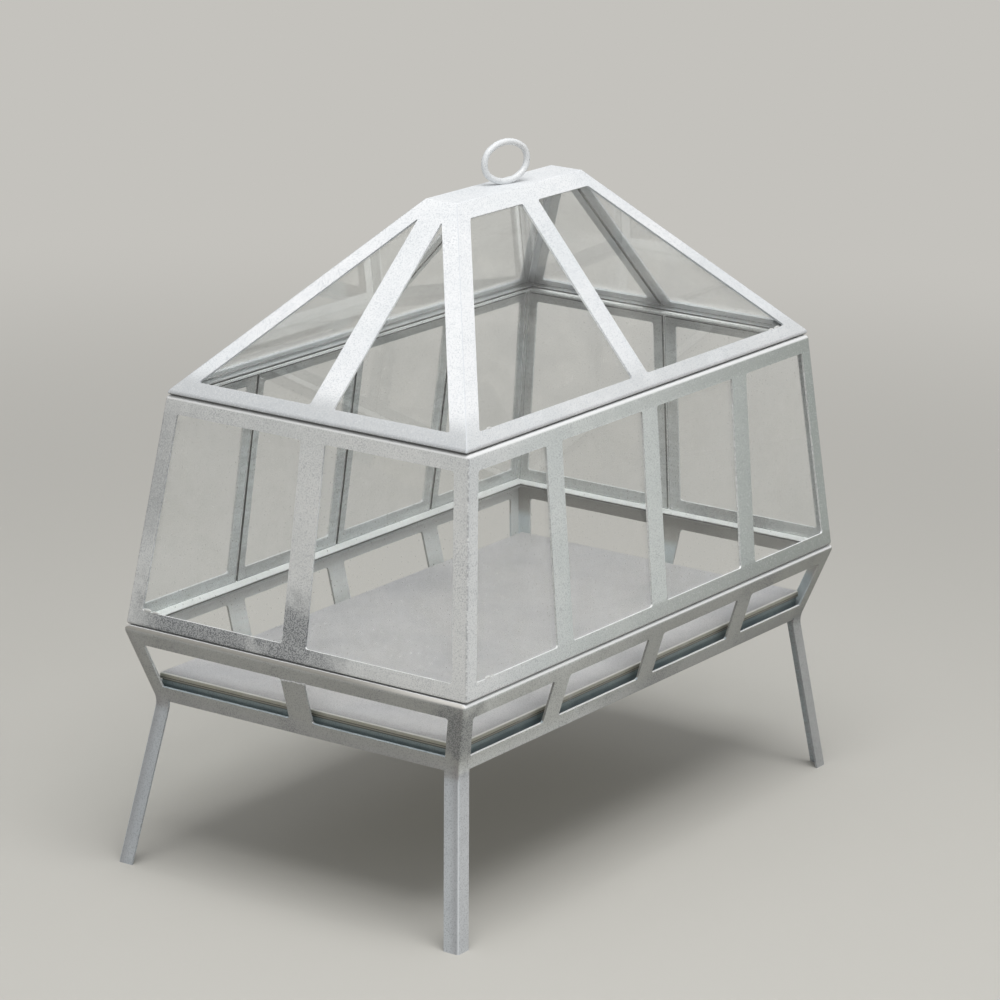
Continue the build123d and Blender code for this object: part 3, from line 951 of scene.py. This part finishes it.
for side in LONG_SIDES:
    open_up(stand, side, LOW_RAIL, high_rail=16, bars=LONG_BARS, rounded=away_from_leg)
for side in SHORT_SIDES:
    open_up(stand, side, LOW_RAIL, high_rail=16, bars=MIDDLE_BAR, rounded=away_from_leg)
# the skirt is open below, and its edges stay for the legs and the low rails
pick("FACE", lambda f: f.normal.z < -0.99)
bpy.ops.mesh.delete(type="ONLY_FACE")
stand.rim(TOP, FLANGE)


def in_leg(place):
    """Whether a place on the skirt lies within a corner angle."""
    for side in SIDES:
        first = stand.corner(*stand.ends(side)[0])
        if abs((place - first).dot(stand.outward(side))) < 0.3 * MM:
            for end in stand.ends(side):
                point, across = stand.strip_line(side, end, POST)
                if (place - point).dot(across) < 0.2 * MM:
                    return True
    return False


def rail_joint(edge):
    """Edges between a low rail and a leg."""
    rail_top = KNEE + (LOW_RAIL + 0.1) * MM
    if len(edge.link_faces) != 2 or max(v.co.z for v in edge.verts) > rail_top:
        return False
    inside = [in_leg(face.calc_center_median()) for face in edge.link_faces]
    return inside[0] != inside[1]


print("low rail joints:", pick("EDGE", rail_joint))
bpy.ops.mesh.edge_split(type="EDGE")

# %% The legs below the knee, and the bend
RUN_ON = 1.03             # legs are drawn 3 % too long, and cut level at the end
KNEE_BEND = 5.8 * MM
for sx in (-1, 1):
    for sy in (-1, 1):
        def knee_edge(edge):
            middle = (edge.verts[0].co + edge.verts[1].co) / 2
            at_corner = middle.x * sx > 0 and middle.y * sy > 0
            return level_at(edge, KNEE) and at_corner and in_leg(middle)
        found = pick("EDGE", knee_edge)
        bpy.ops.mesh.extrude_region_move(TRANSFORM_OT_translate={
            "value": (sx * SPLAY[0] * RUN_ON, sy * SPLAY[1] * RUN_ON, -KNEE * RUN_ON)})
        print("leg", sx, sy, "knee edges:", found)


def knee_fold(edge):
    """Edges along the knee that have a skirt face above and a leg face below."""
    return len(edge.link_faces) == 2 and level_at(edge, KNEE)


print("knee edges to bend:", pick("EDGE", knee_fold))
bpy.ops.mesh.bevel(affect="EDGES", offset=KNEE_BEND, segments=5, profile=0.5)

# %% The level flange of the low rails, where the tray's bearers stand
INWARD = {"front": (0, 1, 0), "back": (0, -1, 0), "left": (1, 0, 0), "right": (-1, 0, 0)}
for side in SIDES:
    def rail_foot(edge):
        if len(edge.link_faces) != 1 or not level_at(edge, KNEE):
            return False
        return side_of(edge.link_faces[0].normal) == side
    found = pick("EDGE", rail_foot)
    bpy.ops.mesh.extrude_region_move(TRANSFORM_OT_translate={
        "value": [c * FLANGE for c in INWARD[side]]})
    print(side, "rail flange edges:", found)
bpy.ops.mesh.select_all(action="SELECT")
bpy.ops.mesh.normals_make_consistent(inside=False)
fold_sheet(stand, (corner_fold, 2.6), (rim_fold(TOP), 4.0), (rim_fold(KNEE), 2.6))

# %% Cut the feet flat on the ground
work_on(stand.object)
bpy.ops.object.mode_set(mode="EDIT")
pick("FACE", lambda f: min(v.co.z for v in f.verts) < 50 * MM)
bpy.ops.mesh.bisect(plane_co=(0, 0, 0), plane_no=(0, 0, 1), use_fill=True, clear_inner=True)
bpy.ops.object.mode_set(mode="OBJECT")
ease_edges(stand.object)
belongs(stand.object, "base", stand_grey,
        nodes_named("leg_", "base_top", "base_low", "skirt_bars"))

# %% [markdown]
# ## Tray, bearers and ring
#
# The tray is one sheet with its edges turned down, and four bearers on the low rails
# carry it. The ring is a round bar. Their solids already have the right bends, so a copy
# of each is merged and its edges eased.


# %% Finish the tray, the bearers and the ring
def dress(name, body, paint):
    """A merged copy of a solid of the model, with eased edges and its own finish."""
    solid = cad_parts[name]
    piece = solid.copy()
    piece.data = solid.data.copy()
    piece.name = name + "_finished"
    piece.parent = None
    bpy.context.scene.collection.objects.link(piece)
    work_on(piece)
    bpy.ops.mesh.customdata_custom_splitnormals_clear()
    bpy.ops.object.mode_set(mode="EDIT")
    bpy.ops.mesh.select_all(action="SELECT")
    bpy.ops.mesh.remove_doubles(threshold=NEAR)
    bpy.ops.mesh.dissolve_limited(angle_limit=math.radians(1))
    bpy.ops.object.mode_set(mode="OBJECT")
    ease_edges(piece, 0.3)
    belongs(piece, body, paint, [name])


for name in ("tray_bearers_long", "tray_bearers_short"):
    dress(name, "base", bearer_zinc)
dress("tray", "base", tray_enamel)
dress("ring_handle", "lid", ring_white)

# %% [markdown]
# ## Sealant and weld beads
#
# The panes are bedded in white silicone, and a few lumps of it squeezed out at the
# corners of the openings. Two welds were left unground: at the ring's foot, and where a
# short skirt bar meets its top rail. Each lump starts as a sphere that is squashed, pushed
# about at random with a fixed seed, and smoothed.


# %% How a lump is made
def lumps(name, body, slot, paint, seed, *places):
    """Soft lumps, given as (middle, half sizes) in mm."""
    clear_selection()
    for number, (middle, half) in enumerate(places):
        bpy.ops.mesh.primitive_uv_sphere_add(segments=16, ring_count=10, radius=1,
                                             location=(0, 0, 0))
        piece = bpy.context.object
        bpy.ops.object.mode_set(mode="EDIT")
        bpy.ops.mesh.select_all(action="SELECT")
        bpy.ops.transform.resize(value=[h * MM for h in half], center_override=(0, 0, 0))
        bpy.ops.transform.vertex_random(offset=0.35 * min(half) * MM, seed=seed + number)
        bpy.ops.transform.translate(value=[c * MM for c in middle])
        bpy.ops.object.mode_set(mode="OBJECT")
        piece.name = f"{name}_{number + 1}"
        add_modifier(piece, "soften", "SMOOTH", factor=0.6, iterations=3)
        add_modifier(piece, "rounder", "SUBSURF", levels=1, render_levels=1)
        bpy.ops.object.shade_smooth()
        belongs(piece, body, paint)
    print(name, "lumps:", len(places))


# %% Make the lumps
silicone = Paint("white_silicone_sealant", "#D9DAD8", "#C8C9C6")
sand(silicone, "#9D9C97", crowding=0.25)
close_paint(silicone, relief=0.6)
weld_bead = Paint("painted_weld_bead", "#DCDDDE", "#B9BBBC")
sand(weld_bead, "#8B8C8D", crowding=0.60)
close_paint(weld_bead)

lumps("walls_sealant", "walls", "walls_paint", silicone, 11,
      ((-279.5, -181.2, 240.7), (4.6, 1.5, 1.5)), ((-272.5, -181.2, 240.4), (2.2, 1.1, 1.0)),
      ((-312.5, 161.5, 241.2), (1.4, 4.8, 1.7)), ((-312.7, 152.5, 240.7), (1.2, 3.4, 1.2)))
lumps("lid_sealant", "lid", "lid_paint", silicone, 23,
      ((-243.4, -150.6, 448.4), (3.8, 1.3, 1.3)), ((234.5, -150.5, 448.3), (3.6, 1.2, 1.1)),
      ((245.5, -150.4, 448.5), (5.0, 1.3, 1.2)))
lumps("ring_weld", "lid", "lid_paint", weld_bead, 31,
      ((9.3, -0.6, 602.9), (4.6, 3.0, 1.6)), ((-2.8, 0.9, 602.9), (4.0, 2.8, 1.4)))
# the bead runs along the top of the bar and drops a little towards the back
bead = ((-12.5, 208.7, 1.5), (-7.0, 208.2, 0.8), (-1.5, 208.4, 0.7), (4.0, 207.9, 0.8),
        (9.5, 207.6, 1.0))
lumps("bar_weld", "base", "stand_paint", weld_bead, 47,
      *[((-314.3, y, z), (0.8, 3.4, half_height)) for y, z, half_height in bead])
